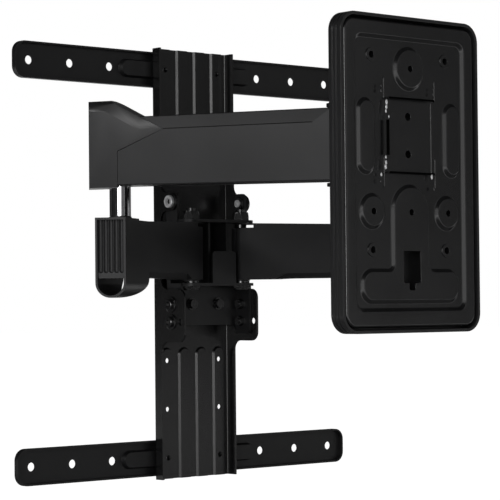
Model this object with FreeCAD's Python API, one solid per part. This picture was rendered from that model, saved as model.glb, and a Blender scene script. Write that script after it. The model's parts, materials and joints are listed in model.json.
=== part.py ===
import FreeCAD, Part
import math
import os

# Full-motion wall mount for a flat television, in millimetres.
# +Z is up, +X runs to the right seen from the room and +Y goes into the wall.
# The origin is the centre of the wall bolt pattern, on the wall's surface.
# "out" below is the distance from the wall into the room, so out = -Y.

V = FreeCAD.Vector
os.makedirs("parts", exist_ok=True)

# Linkage: two rear arms on the wall, two forearms on the head, all equally long
HINGE_HALF = 34.0
HINGE_OUT = 50.0
ARM_LENGTH = 220.0
REAR_ANGLE = 32.8
FORE_ANGLE = 64.1

# Running fits and joints between pieces
RUNNING_CLEARANCE = 0.05
AXIAL_PLAY = 0.1
SEAT_CLEARANCE = 0.02
LOOSE_HOLE = 0.4
SEAM_GAP = 0.4
COVER_CLEARANCE = 0.5

# Wall straps
STUD_PITCH = 50.8
STUD_FIRST = 101.6
STUD_COUNT = 3
STRAP_ROW = 203.2
STRAP_LENGTH = 445.0
STRAP_HEIGHT = 37.0
STRAP_CORNER = 11.5
STRAP_DEPTH = 6.5
STRAP_SHEET = 2.0
STRAP_HOLE_R = 4.4
PAD_LENGTH = 182.0
PAD_HEIGHT = 20.5
PAD_SLOPE = 2.5

# Upright channel with pressed beads
CHANNEL_WIDTH = 101.6
CHANNEL_HALF_HEIGHT = 225.0
CHANNEL_BACK = 7.0
CHANNEL_SHEET = 2.5
CHANNEL_FLANGE = 14.0
CHANNEL_BEND = 4.0
BEAD_COUNT = 4
BEAD_PITCH = 23.6
BEAD_WIDTH = 16.0
BEAD_RISE = 2.2
BEAD_SLOPE = 1.7
BEAD_START = 88.0
CHANNEL_HOLE_R = 2.75
TAB_ROUND = 9.5
TAB_ROOT = 9.0
UPPER_TAB_UP = 63.5
UPPER_TAB_OUT = 36.5
LOWER_TAB_TOP = -27.0
LOWER_TAB_HEIGHT = 55.0
LOWER_TAB_OUT = 58.0
TAB_SPARE_HOLE_OUT = 52.0
TAB_SPARE_HOLE_R = 3.5

# Hinge bracket between the channel's tabs
BRACKET_FIT = 0.2
BRACKET_SHEET = 3.0
BRACKET_PLATE_OUT = 27.0
BRACKET_BOTTOM = -74.0
BRACKET_PLATE_LOW = -65.0
BRACKET_CROTCH = 7.0
BRACKET_SIDE_OUT = 50.0
BRACKET_NECK_OUT = 44.5
BRACKET_WAIST_OUT = 33.0
BRACKET_EAR_TOP = 74.0
BRACKET_EAR_ROUND = 6.0
EAR_ROUND = 13.0
RIB_HALF = 12.0
RIB_SHEET = 2.5
RIB_OUT = 53.0
STOP_HALF = 16.0
STOP_TOP = 12.0
STOP_ROUND = 4.0
LOCK_OUT = 37.0
LOCK_ROWS = (-43.0, -61.0)
LOCK_SLOT = 9.0
SET_SCREW_HALF = 18.0
SET_SCREW_UP = -42.5
SET_SCREW_TIP_GAP = 0.3

# Fasteners: shank radius, head size and head height
PIVOT_R = 4.0
PIVOT_HEAD_R = 6.5
PIVOT_HEAD = 3.2
PIVOT_NUT = 3.2
LOCK_R = 3.0
LOCK_HEAD_R = 5.5
LOCK_HEAD = 3.5
LOCK_WASHER_R = 8.0
LOCK_WASHER = 1.5
SET_R = 3.0
SET_HEAD = 4.0
SET_FLANGE_R = 6.5
SET_FLANGE = 1.5
HINGE_R = 5.0
HINGE_HEAD = 4.2
NUT_SCALE = 0.85
HEX_ACROSS = 3.2
HEX_TURNED = 0.6
SOCKET_DEPTH = 0.6
HEAD_CHAMFER = 0.17
THREAD_END = 3.0
SIDE_THREAD_END = 1.0
WASHER_EDGE = 4.0
WALL_WASHER = 2.4
WALL_SPACER = 5.2
SPACER_EDGE = 1.2
HEAD_WASHER = 4.0

# Arms: steel tube with welded barrels inside moulded covers
TUBE_HALF = 10.5
TUBE_WALL = 2.5
BUSH_WALL = 2.0
BUSH_FLANGE = 1.5
BUSH_LENGTH = 16.0
HINGE_BARREL_R = 9.5
ELBOW_BARREL_R = 11.6
COVER_HALF = 14.0
COVER_WALL = 2.0
COVER_END = 2.5
COVER_END_ROUND = 8.0
COVER_EASE = 3.0

# Rear arm heights and hood
REAR_LOW = -17.0
REAR_HIGH = 38.0
REAR_HINGE_HIGH = 35.2
REAR_ELBOW_LOW = -8.0
REAR_TUBE_LOW = -8.0
REAR_TUBE_HIGH = 33.0
REAR_COVER_LOW = -17.5
REAR_COVER_BELLY = -17.0
REAR_CREASE = -11.6
REAR_KINK_START = 41.0
REAR_KINK_END = 58.0
REAR_TOP_HINGE = 41.3
REAR_SLOT_LENGTH = 20.5
REAR_SLOT_LOW = 36.8
REAR_SLOT_HIGH = 40.5
REAR_TOP_ELBOW = 36.5
REAR_HOOD_TOP = 38.0
REAR_HOOD_LOW = -36.0
REAR_HOOD_LIP = 13.0
HOOD_REACH = 31.0
HOOD_CURVE_BACK = 42.0
HOOD_CURVE_FRONT = 12.0
HOOD_SCREEN_LOW = -18.0
HOOD_SCREEN_INSET = 3.0
HOOD_SCOOP_TOP = -6.0
HOOD_SLANT = 5.0
HOOD_EASE = 0.1
CURVE_PULL = 0.5523
FLUTE_COUNT = 5
FLUTE_R = 2.6
FLUTE_FOOT = 7.0

# Forearm heights, cover and elbow cap
FORE_LOW = 70.0
FORE_HIGH = 127.0
FORE_TUBE_LOW = 75.0
FORE_TUBE_HIGH = 116.0
FORE_COVER_LOW_ELBOW = 68.5
FORE_COVER_LOW_HEAD = 66.5
FORE_CREASE = 119.0
FORE_TOP = 131.0
FORE_TOP_HALF = 11.0
FORE_KINK_START = 198.0
FORE_KINK_END = 216.0
CAP_LOW = 66.4
CAP_TOP = 148.0
CAP_ROUND = 10.5
CAP_FLAT_END = -6.0
CAP_ROOF_END = 26.0
CAP_POINT = 51.0
CAP_SEAM = 4.0
CAP_SEAM_TOP = 100.0
CAP_REACH = 25.3
CAP_SLANT = 14.3

# Elbow shaft
SHAFT_R = 10.0
JOURNAL_R = 8.0
SHAFT_SCREW_R = 4.0
SHAFT_SCREW_DEPTH = 16.0
SHAFT_SCREW_HEAD_R = 6.5
SHAFT_SCREW_HEAD = 4.0
SHAFT_WASHER = 2.5

# Head: yoke, tilt joint, tray and television plate
YOKE_SHEET = 3.0
YOKE_WEB_OUT = 17.0
TILT_OUT = 33.0
TILT_UP = 107.0
TILT_R = 4.0
TILT_ROUND = 12.0
TILT_EAR_REACH = 11.0
TILT_EAR_CORNER = 9.6
TILT_TIP_REACH = 9.5
TILT_TIP_HALF = 10.0
TILT_TIP_CORNER = 8.0
TILT_EAR_ROOT = 18.0
TILT_SHEET = 2.5
TILT_HALF = 33.3
TILT_SPACER = 1.8
TILT_HEIGHT = 97.0
TILT_HEAD = 5.0
HEAD_FACE_OUT = 55.0
TRAY_WIDTH = 173.0
TRAY_HEIGHT = 279.2
TRAY_UP = 70.1
TRAY_ROUND = 17.0
TRAY_DEPTH = 15.5
TRAY_WALL = 3.0
TRAY_BACK = 2.5
TRAY_WINDOW_HALF = 45.0
TRAY_WINDOW_HEIGHT = 104.0
TRAY_WINDOW_ROUND = 12.0
GROOVE_WIDTH = 1.6
GROOVE_DEPTH = 0.9
GROOVE_PLACES = (4.5, 9.0)
PLATE_GAP = 2.0
PLATE_SETBACK = 1.0
PLATE_SHEET = 2.0
PLATE_EDGE = 2.5
PANEL_HALF = 70.0
PANEL_LOW = -51.0
PANEL_HIGH = 192.0
PANEL_ROUND = 10.0
PANEL_STEP = 3.0
PRESS_RISE = 2.8
PRESS_SLOPE = 2.6
PRESS_STEPS = ((0.0, 0.0), (0.9, 0.12), (2.0, 0.5), (3.1, 0.88), (4.0, 1.0))
SCREW_SPACING_X = 93.0
SCREW_SPACING_Z = 170.5
SCREW_CENTRE_UP = 88.75
SCREW_R = 3.0
SCREW_COLLAR_R = 6.0
SCREW_COLLAR = 1.0
BOSS_UP = 164.0
BOSS_R = 20.0
DISC_HALF = 47.0
DISC_UP = 37.0
DISC_R = 16.3
LOZENGE_HALF = 54.0
LOZENGE_UP = 102.5
LOZENGE_WIDTH = 23.6
LOZENGE_HEIGHT = 68.0
STEM_WIDTH = 49.0
STEM_TOP = 62.0
FOOT_WIDTH = 125.4
FOOT_LOW = -44.0
FOOT_HIGH = -12.5
FOOT_ROUND = 14.0
STEM_FILLET = 3.5
PLATE_HOLE_R = 2.8
CENTRE_HOLE_R = 3.5
CENTRE_HOLES_UP = (121.7, 88.5)
SEAT_HALF = 28.5
SEAT_LOW = 71.5
SEAT_HIGH = 137.0
SEAT_SINK = 0.8
SEAT_SLIT = 1.2
SEAT_SLIT_DEPTH = 1.2
WELD_SLOTS = ((136.0, 19.0), (58.5, 27.5))
WELD_SLOT_R = 1.3
WINDOW_HALF = 10.75
WINDOW_LOW = -25.6
WINDOW_HIGH = 2.7
WINDOW_KEY_HALF = 3.8
WINDOW_KEY_LOW = -32.0
WINDOW_ROUND = 2.0

# Room for a cutter to run past a face
OVERCUT = 1.0

# Plan positions of the six hinge axes
REAR = math.radians(REAR_ANGLE)
FORE = math.radians(FORE_ANGLE)
LEFT_STEP = V(-math.cos(REAR), -math.sin(REAR), 0) * ARM_LENGTH
RIGHT_STEP = V(math.cos(FORE), -math.sin(FORE), 0) * ARM_LENGTH
LEFT_WALL = V(-HINGE_HALF, -HINGE_OUT, 0)
RIGHT_WALL = V(HINGE_HALF, -HINGE_OUT, 0)
LEFT_ELBOW = LEFT_WALL + LEFT_STEP
RIGHT_ELBOW = RIGHT_WALL + RIGHT_STEP
LEFT_HEAD = LEFT_ELBOW + RIGHT_STEP
RIGHT_HEAD = RIGHT_ELBOW + LEFT_STEP
HEAD_X = (LEFT_HEAD.x + RIGHT_HEAD.x) / 2
HEAD_OUT = -LEFT_HEAD.y


def at(x, out, up):
    """Point at x, a distance out from the wall, and a height."""
    return V(x, -out, up)


def rounded(points, radii):
    """Closed wire through corner points, each corner rounded by its radius."""
    corners = []
    for index, point in enumerate(points):
        radius = radii[index]
        if radius == 0:
            corners.append((point, point, point))
            continue
        back = (points[index - 1] - point).normalize()
        ahead = (points[(index + 1) % len(points)] - point).normalize()
        half = back.getAngle(ahead) / 2
        middle = (back + ahead).normalize()
        run = radius / math.tan(half)
        crown = point + middle * (radius / math.sin(half) - radius)
        corners.append((point + back * run, crown, point + ahead * run))
    edges = []
    for index, corner in enumerate(corners):
        if (corner[0] - corner[2]).Length > 1e-6:
            edges.append(Part.Arc(*corner).toShape())
        following = corners[(index + 1) % len(corners)][0]
        if (following - corner[2]).Length > 1e-6:
            edges.append(Part.makeLine(corner[2], following))
    return Part.Wire(edges)


def slab(points, radii, run):
    """Rounded outline pushed along a vector."""
    if not isinstance(radii, (list, tuple)):
        radii = [radii] * len(points)
    return Part.Face(rounded(points, radii)).extrude(run)


def wall_rect(x, up, width, height, out):
    """Corners of a rectangle parallel to the wall, centred at x and up."""
    left, right = x - width / 2, x + width / 2
    low, high = up - height / 2, up + height / 2
    return [at(left, out, low), at(right, out, low), at(right, out, high), at(left, out, high)]


def wall_slab(x, up, width, height, radius, out, depth):
    """Rounded rectangle parallel to the wall, from out to out + depth."""
    return slab(wall_rect(x, up, width, height, out), radius, at(0, depth, 0))


def press(x, up, width, height, radius, slope, out, rise):
    """Pressed form with sloping walls: a rounded rectangle that narrows as it rises."""
    foot = rounded(wall_rect(x, up, width, height, out), [radius] * 4)
    top = rounded(
        wall_rect(x, up, width - 2 * slope, height - 2 * slope, out + rise), [radius - slope] * 4
    )
    return Part.makeLoft([foot, top], True, True)


def rod(radius, length, base, direction):
    return Part.makeCylinder(radius, length, base, direction)


def box(x0, x1, y0, y1, z0, z1):
    return Part.makeBox(x1 - x0, y1 - y0, z1 - z0, V(x0, y0, z0))


def cut_all(shape, cutters):
    return shape.cut(cutters).removeSplitter()


def fuse_all(shapes):
    return shapes[0].fuse(shapes[1:]).removeSplitter()


def group(solids):
    return Part.makeCompound(solids)


def hexagon(width, height, base, direction):
    """Hexagonal prism, width across flats, with its edges turned down at the far end."""
    corner = width / math.sqrt(3)
    turn = FreeCAD.Rotation(V(0, 0, 1), direction)
    points = []
    for step in range(6):
        angle = math.radians(60 * step)
        points.append(base + turn.multVec(V(corner * math.cos(angle), corner * math.sin(angle), 0)))
    prism = slab(points, 0, direction * height)
    drop = (corner - width / 2) * HEX_TURNED
    cap = Part.makeCone(corner + drop, width / 2, height, base, direction)
    return prism.common(cap)


def hex_nut(radius, height, base, direction):
    body = hexagon(radius * HEX_ACROSS, height, base, direction)
    return body.cut(rod(radius + SEAT_CLEARANCE, height, base, direction))


def socket_bolt(radius, length, head_r, head, seat, direction):
    """Round head on the seat, shank running along the direction, hexagon socket in the head."""
    shank = rod(radius, length, seat, direction)
    crown = rod(head_r, head, seat - direction * head, direction)
    rims = [edge for edge in crown.Edges if isinstance(edge.Curve, Part.Circle)]
    far = max(rims, key=lambda edge: (edge.CenterOfMass - seat).Length)
    crown = crown.makeChamfer(head * HEAD_CHAMFER, [far])
    mouth = seat - direction * (head + SEAT_CLEARANCE)
    socket = hexagon(head_r, head * SOCKET_DEPTH, mouth, direction)
    return shank.fuse(crown).cut(socket).removeSplitter()


def hex_bolt(radius, length, head, seat, direction):
    shank = rod(radius, length, seat, direction)
    return shank.fuse(hexagon(radius * HEX_ACROSS, head, seat, direction * -1)).removeSplitter()


def washer(outer, inner, thickness, base, direction):
    return rod(outer, thickness, base, direction).cut(rod(inner, thickness, base, direction))


def stud_places():
    """Distances of the stud holes from the middle of a strap, both sides."""
    places = []
    for index in range(STUD_COUNT):
        offset = STUD_FIRST + STUD_PITCH * index
        places += [-offset, offset]
    return places


# Wall plate

BEAD_CENTRES = [BEAD_PITCH * (step - (BEAD_COUNT - 1) / 2) for step in range(BEAD_COUNT)]
CHANNEL_FRONT = CHANNEL_BACK + CHANNEL_SHEET
CHANNEL_HALF = CHANNEL_WIDTH / 2
CHANNEL_INNER = CHANNEL_HALF - CHANNEL_SHEET
CHANNEL_EDGE_OUT = CHANNEL_BACK + CHANNEL_FLANGE


def channel_hole_places():
    """Screw holes down the two outer beads, on the stud pitch."""
    places = []
    for x in (BEAD_CENTRES[0], BEAD_CENTRES[-1]):
        for up in stud_places():
            places.append((x, up))
    return places


def make_strap(up):
    """Shallow tray with a pressed pad that carries the channel and a row of stud holes."""
    tray = wall_slab(0, up, STRAP_LENGTH, STRAP_HEIGHT, STRAP_CORNER, 0, STRAP_DEPTH)
    hollow = wall_slab(
        0, up, STRAP_LENGTH - 2 * STRAP_SHEET, STRAP_HEIGHT - 2 * STRAP_SHEET,
        STRAP_CORNER - STRAP_SHEET, STRAP_SHEET, STRAP_DEPTH
    )
    pad = press(0, up, PAD_LENGTH, PAD_HEIGHT, PAD_HEIGHT / 2, PAD_SLOPE, 0, CHANNEL_BACK)
    inner_height = PAD_HEIGHT - 2 * STRAP_SHEET
    back = press(
        0, up, PAD_LENGTH - 2 * STRAP_SHEET, inner_height, inner_height / 2, PAD_SLOPE,
        0, CHANNEL_BACK - STRAP_SHEET
    )
    cutters = [back]
    for x in stud_places():
        cutters.append(rod(STRAP_HOLE_R, CHANNEL_BACK + OVERCUT, at(x, 0, up), at(0, 1, 0)))
    for x, hole_up in channel_hole_places():
        if abs(hole_up - up) < STRAP_HEIGHT / 2:
            cutters.append(rod(CHANNEL_HOLE_R, CHANNEL_BACK + OVERCUT, at(x, 0, up), at(0, 1, 0)))
    return cut_all(tray.cut(hollow).fuse(pad), cutters)


def channel_section():
    """U section of the channel, open to the room, in the plane of its lower end."""
    half, inner = CHANNEL_HALF, CHANNEL_INNER
    low = -CHANNEL_HALF_HEIGHT
    points = [
        at(-half, CHANNEL_EDGE_OUT, low), at(-half, CHANNEL_BACK, low),
        at(half, CHANNEL_BACK, low), at(half, CHANNEL_EDGE_OUT, low),
        at(inner, CHANNEL_EDGE_OUT, low), at(inner, CHANNEL_FRONT, low),
        at(-inner, CHANNEL_FRONT, low), at(-inner, CHANNEL_EDGE_OUT, low),
    ]
    bend_in = CHANNEL_BEND - CHANNEL_SHEET
    return slab(points, [0, CHANNEL_BEND, CHANNEL_BEND, 0, 0, bend_in, bend_in, 0],
                V(0, 0, 2 * CHANNEL_HALF_HEIGHT))


def side_tab(x, out, low, high):
    """Plate square to X that curves out of the channel's flange and ends in rounded corners."""
    root = CHANNEL_EDGE_OUT - CHANNEL_BEND
    edge = CHANNEL_EDGE_OUT
    points = [at(x, root, low - TAB_ROOT), at(x, edge, low - TAB_ROOT), at(x, edge, low),
              at(x, out, low), at(x, out, high), at(x, edge, high),
              at(x, edge, high + TAB_ROOT), at(x, root, high + TAB_ROOT)]
    radii = [0, 0, TAB_ROOT, TAB_ROUND, TAB_ROUND, TAB_ROOT, 0, 0]
    return slab(points, radii, V(CHANNEL_SHEET, 0, 0))


def make_channel():
    """Folded upright with beads, screw holes and the tabs that hold the hinge bracket."""
    pieces = [channel_section()]
    lower_bottom = LOWER_TAB_TOP - LOWER_TAB_HEIGHT
    for x in (-CHANNEL_HALF, CHANNEL_INNER):
        pieces.append(side_tab(x, UPPER_TAB_OUT + TAB_ROUND, UPPER_TAB_UP - TAB_ROUND,
                               UPPER_TAB_UP + TAB_ROUND))
        pieces.append(side_tab(x, LOWER_TAB_OUT, lower_bottom, LOWER_TAB_TOP))
    length = CHANNEL_HALF_HEIGHT - BEAD_START + BEAD_WIDTH
    middle = BEAD_START + length / 2
    room = box(-CHANNEL_HALF, CHANNEL_HALF, -LOWER_TAB_OUT, 0,
               -CHANNEL_HALF_HEIGHT, CHANNEL_HALF_HEIGHT)
    groove_width = BEAD_WIDTH - 2 * BEAD_SLOPE
    cutters = []
    for x in BEAD_CENTRES:
        for side in (-1, 1):
            bead = press(x, side * middle, BEAD_WIDTH, length, BEAD_WIDTH / 2,
                         BEAD_SLOPE, CHANNEL_FRONT, BEAD_RISE)
            pieces.append(bead.common(room))
            cutters.append(press(x, side * middle, groove_width, length - 2 * BEAD_SLOPE,
                                 groove_width / 2, BEAD_SLOPE, CHANNEL_BACK, BEAD_RISE))
    for x, up in channel_hole_places():
        cutters.append(rod(CHANNEL_HOLE_R, BEAD_RISE + CHANNEL_FLANGE, at(x, CHANNEL_BACK, up),
                           at(0, 1, 0)))
    across = CHANNEL_WIDTH + 2 * OVERCUT
    left = -CHANNEL_HALF - OVERCUT
    pivot = at(left, UPPER_TAB_OUT, UPPER_TAB_UP)
    cutters.append(rod(PIVOT_R + LOOSE_HOLE, across, pivot, V(1, 0, 0)))
    for up in LOCK_ROWS:
        half_height = LOCK_R + LOOSE_HOLE
        low, high = LOCK_OUT - LOCK_SLOT / 2, LOCK_OUT + LOCK_SLOT / 2
        slot = [at(left, low, up - half_height), at(left, high, up - half_height),
                at(left, high, up + half_height), at(left, low, up + half_height)]
        cutters.append(slab(slot, half_height, V(across, 0, 0)))
    spare = at(left, TAB_SPARE_HOLE_OUT, LOCK_ROWS[1])
    cutters.append(rod(TAB_SPARE_HOLE_R, across, spare, V(1, 0, 0)))
    return cut_all(fuse_all(pieces), cutters)


# Hinge bracket

WALL_EAR_LOW = REAR_LOW - BUSH_FLANGE - AXIAL_PLAY - WALL_WASHER
WALL_EAR_HIGH = REAR_HINGE_HIGH + BUSH_FLANGE + AXIAL_PLAY + WALL_SPACER
BRACKET_HALF = CHANNEL_INNER - BRACKET_FIT
BRACKET_INNER = BRACKET_HALF - BRACKET_SHEET
BRACKET_FRONT = BRACKET_PLATE_OUT + BRACKET_SHEET
EAR_OUT = HINGE_OUT + EAR_ROUND


def bracket_flange(base):
    """Horizontal plate with an ear round each hinge axis."""
    half = HINGE_HALF + EAR_ROUND
    points = [at(-half, BRACKET_PLATE_OUT, base), at(half, BRACKET_PLATE_OUT, base),
              at(half, EAR_OUT, base), at(-half, EAR_OUT, base)]
    return slab(points, [0, 0, EAR_ROUND, EAR_ROUND], V(0, 0, BRACKET_SHEET))


def bracket_side(x):
    """Side flange against the channel's tabs, narrow beside the arms, with an ear for the pivot bolt."""
    run = V(BRACKET_SHEET, 0, 0)
    back = BRACKET_PLATE_OUT
    lower = slab([at(x, back, BRACKET_BOTTOM), at(x, BRACKET_SIDE_OUT, BRACKET_BOTTOM),
                  at(x, BRACKET_SIDE_OUT, WALL_EAR_LOW), at(x, back, WALL_EAR_LOW)],
                 [0, STOP_ROUND, 0, 0], run)
    waist = slab([at(x, back, WALL_EAR_LOW), at(x, BRACKET_WAIST_OUT, WALL_EAR_LOW),
                  at(x, BRACKET_WAIST_OUT, WALL_EAR_HIGH), at(x, back, WALL_EAR_HIGH)], 0, run)
    ear = slab([at(x, back, WALL_EAR_HIGH), at(x, BRACKET_NECK_OUT, WALL_EAR_HIGH),
                at(x, BRACKET_NECK_OUT, BRACKET_EAR_TOP), at(x, back, BRACKET_EAR_TOP)],
               [0, 0, BRACKET_EAR_ROUND, BRACKET_EAR_ROUND], run)
    return [lower, waist, ear]


def make_hinge_bracket():
    """Folded bracket: front plate, two side flanges, two hinge flanges, ribs and the arm stop."""
    top = WALL_EAR_HIGH + BRACKET_SHEET
    outline = [(-BRACKET_HALF, BRACKET_BOTTOM), (-BRACKET_INNER, BRACKET_BOTTOM),
               (-BRACKET_INNER, BRACKET_PLATE_LOW), (BRACKET_INNER, BRACKET_PLATE_LOW),
               (BRACKET_INNER, BRACKET_BOTTOM), (BRACKET_HALF, BRACKET_BOTTOM),
               (BRACKET_HALF, top), (-BRACKET_HALF, top)]
    corners = [at(x, BRACKET_PLATE_OUT, up) for x, up in outline]
    plate = slab(corners, [0, 0, BRACKET_CROTCH, BRACKET_CROTCH, 0, 0, 0, 0],
                 at(0, BRACKET_SHEET, 0))
    pieces = [plate, bracket_flange(WALL_EAR_LOW - BRACKET_SHEET), bracket_flange(WALL_EAR_HIGH)]
    for x in (-BRACKET_HALF, BRACKET_INNER):
        pieces += bracket_side(x)
    for x in (-RIB_HALF - RIB_SHEET / 2, RIB_HALF - RIB_SHEET / 2):
        pieces.append(box(x, x + RIB_SHEET, -RIB_OUT, -BRACKET_PLATE_OUT,
                          WALL_EAR_LOW, WALL_EAR_HIGH))
    foot = WALL_EAR_LOW - BRACKET_SHEET
    stop = [at(-STOP_HALF, EAR_OUT, foot), at(STOP_HALF, EAR_OUT, foot),
            at(STOP_HALF, EAR_OUT, STOP_TOP), at(-STOP_HALF, EAR_OUT, STOP_TOP)]
    pieces.append(slab(stop, [0, 0, STOP_ROUND, STOP_ROUND], at(0, -RIB_SHEET, 0)))
    cutters = []
    tall = WALL_EAR_HIGH - WALL_EAR_LOW + 4 * BRACKET_SHEET
    for axis in (LEFT_WALL, RIGHT_WALL):
        base = V(axis.x, axis.y, WALL_EAR_LOW - 2 * BRACKET_SHEET)
        cutters.append(rod(HINGE_R + RUNNING_CLEARANCE, tall, base, V(0, 0, 1)))
    left = -BRACKET_HALF - OVERCUT
    across = 2 * (BRACKET_HALF + OVERCUT)
    pivot = at(left, UPPER_TAB_OUT, UPPER_TAB_UP)
    cutters.append(rod(PIVOT_R + RUNNING_CLEARANCE, across, pivot, V(1, 0, 0)))
    for up in LOCK_ROWS:
        cutters.append(rod(LOCK_R + RUNNING_CLEARANCE, across, at(left, LOCK_OUT, up), V(1, 0, 0)))
    for x in (-SET_SCREW_HALF, SET_SCREW_HALF):
        base = at(x, BRACKET_PLATE_OUT - OVERCUT, SET_SCREW_UP)
        cutters.append(rod(SET_R + RUNNING_CLEARANCE, BRACKET_FRONT, base, at(0, 1, 0)))
    return cut_all(fuse_all(pieces), cutters)


def side_bolts(radius, head_r, head, nut_height, out, ups, stand_off):
    """Socket bolts through both channel tabs, heads outside, nuts inside the bracket."""
    bolts, nuts = [], []
    length = CHANNEL_HALF + stand_off - BRACKET_INNER + nut_height + SIDE_THREAD_END
    for side in (-1, 1):
        inward = V(-side, 0, 0)
        for up in ups:
            seat = at(side * (CHANNEL_HALF + stand_off), out, up)
            bolts.append(socket_bolt(radius, length, head_r, head, seat, inward))
            nuts.append(hex_nut(radius, nut_height, at(side * BRACKET_INNER, out, up), inward))
    return bolts, nuts


def lock_washers():
    rings = []
    for side in (-1, 1):
        for up in LOCK_ROWS:
            rings.append(washer(LOCK_WASHER_R, LOCK_R + RUNNING_CLEARANCE, LOCK_WASHER,
                                at(side * CHANNEL_HALF, LOCK_OUT, up), V(side, 0, 0)))
    return rings


def set_screws():
    """Two flanged screws through the bracket's plate that bear on the channel's web."""
    screws = []
    into_wall = at(0, -1, 0)
    length = BRACKET_FRONT + SET_FLANGE - CHANNEL_FRONT - SET_SCREW_TIP_GAP
    for x in (-SET_SCREW_HALF, SET_SCREW_HALF):
        seat = at(x, BRACKET_FRONT + SET_FLANGE, SET_SCREW_UP)
        flange = rod(SET_FLANGE_R, SET_FLANGE, seat, into_wall)
        bolt = hex_bolt(SET_R, length, SET_HEAD, seat, into_wall)
        screws.append(bolt.fuse(flange).removeSplitter())
    return screws


def hinge_hardware(axes, ear_low, ear_high, sheet, low_ring, high_ring):
    """Hinge bolts, nuts and rings between two flanges; a ring is given as edge and thickness."""
    bolts, nuts, rings = [], [], []
    up = V(0, 0, 1)
    nut_height = HINGE_R * 2 * NUT_SCALE
    length = ear_high - ear_low + 2 * sheet + nut_height + THREAD_END
    for axis in axes:
        seat = V(axis.x, axis.y, ear_low - sheet)
        bolts.append(hex_bolt(HINGE_R, length, HINGE_HEAD, seat, up))
        nuts.append(hex_nut(HINGE_R, nut_height, V(axis.x, axis.y, ear_high + sheet), up))
        for base, way, (edge, thickness) in ((ear_low, up, low_ring), (ear_high, up * -1, high_ring)):
            rings.append(washer(HINGE_R + edge, HINGE_R + RUNNING_CLEARANCE, thickness,
                                V(axis.x, axis.y, base), way))
    return bolts, nuts, rings


# Arms, drawn along +X from their first axis, with the room-facing side towards +Y

UP = V(0, 0, 1)
INNER_HALF = COVER_HALF - COVER_WALL
BUSH_HOLE_R = HINGE_R + RUNNING_CLEARANCE
BUSH_R = HINGE_R + BUSH_WALL
ELBOW_BUSH_HOLE_R = JOURNAL_R + RUNNING_CLEARANCE
ELBOW_BUSH_R = JOURNAL_R + BUSH_WALL
BUSH_FLANGE_R = ELBOW_BARREL_R - COVER_WALL / 2


def bushings(hole_r, outer_r, flange_r, low, high, along):
    """Two flanged bushings pressed into the ends of a barrel."""
    pair = []
    for end, way in ((low, UP), (high, UP * -1)):
        base = V(along, 0, end)
        sleeve = rod(outer_r, BUSH_LENGTH, base, way)
        flange = rod(flange_r, BUSH_FLANGE, base, way * -1)
        hole = rod(hole_r, BUSH_LENGTH + BUSH_FLANGE, base - way * BUSH_FLANGE, way)
        pair.append(sleeve.fuse(flange).cut(hole).removeSplitter())
    return pair


def make_tube(tube_low, tube_high, first, second):
    """Rectangular tube with a welded barrel at each end, given as radius, bore radius, low and high end."""
    start, end = first[0] / 2, ARM_LENGTH - second[0] / 2
    outer = box(start, end, -TUBE_HALF, TUBE_HALF, tube_low, tube_high)
    inner = box(start, end, -TUBE_HALF + TUBE_WALL, TUBE_HALF - TUBE_WALL,
                tube_low + TUBE_WALL, tube_high - TUBE_WALL)
    body = outer.cut(inner)
    bores = []
    for along, (barrel_r, bore_r, low, high) in ((0, first), (ARM_LENGTH, second)):
        body = body.fuse(rod(barrel_r, high - low, V(along, 0, low), UP))
        bores.append(rod(bore_r + SEAT_CLEARANCE, high - low, V(along, 0, low), UP))
    return cut_all(body, bores)


def side_profile(points, half):
    """Outline in the arm's side plane, given as (along, up), pushed across the arm's width."""
    corners = [V(along, -half, up) for along, up in points]
    return slab(corners, 0, V(0, 2 * half, 0))


def long_section(points, start, end):
    """Outline across the arm, given as (across, up), pushed along the arm."""
    corners = [V(start, across, up) for across, up in points]
    return slab(corners, 0, V(end - start, 0, 0))


def mirrored_pair(shape):
    return [shape, shape.mirror(V(0, 0, 0), V(0, 1, 0))]


def hood_block(half, low, top):
    """Scoop below the elbow: half-round floor whose underside curves up to the arm."""
    end = ARM_LENGTH + HOOD_REACH
    start = ARM_LENGTH - HOOD_CURVE_BACK
    front = ARM_LENGTH + HOOD_CURVE_FRONT
    belly = REAR_COVER_BELLY
    curve = Part.BezierCurve()
    curve.setPoles([V(start, 0, belly), V(start, 0, belly + CURVE_PULL * (low - belly)),
                    V(front - CURVE_PULL * (front - start), 0, low), V(front, 0, low)])
    edges = [curve.toShape(), Part.makeLine(V(front, 0, low), V(end, 0, low)),
             Part.makeLine(V(end, 0, low), V(end, 0, top)),
             Part.makeLine(V(end, 0, top), V(start, 0, top)),
             Part.makeLine(V(start, 0, top), V(start, 0, belly))]
    side = Part.Face(Part.Wire(edges)).extrude(V(0, 2 * half, 0))
    side.translate(V(0, -half, 0))
    return side.common(trough(start, end, half, low, top))


def trough(start, end, half, low, top):
    """Bar along the arm with a half-round underside."""
    corners = [V(start, -half, low), V(start, half, low), V(start, half, top), V(start, -half, top)]
    round_r = half - HOOD_EASE
    return slab(corners, [round_r, round_r, 0, 0], V(end - start, 0, 0))


def mouth_line(across):
    """How far the slanted mouth of the hood lies back from its wall-side edge."""
    return HOOD_SLANT * (across + COVER_HALF) / (2 * COVER_HALF)


def beyond_mouth(inset, half, low, high):
    """Everything further out than a plane parallel to the hood's slanted mouth."""
    end = ARM_LENGTH + HOOD_REACH - inset
    far = ARM_LENGTH + HOOD_REACH + OVERCUT
    corners = [V(end - mouth_line(-half), -half, low), V(far, -half, low), V(far, half, low),
               V(end - mouth_line(half), half, low)]
    return slab(corners, 0, V(0, 0, high - low))


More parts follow.
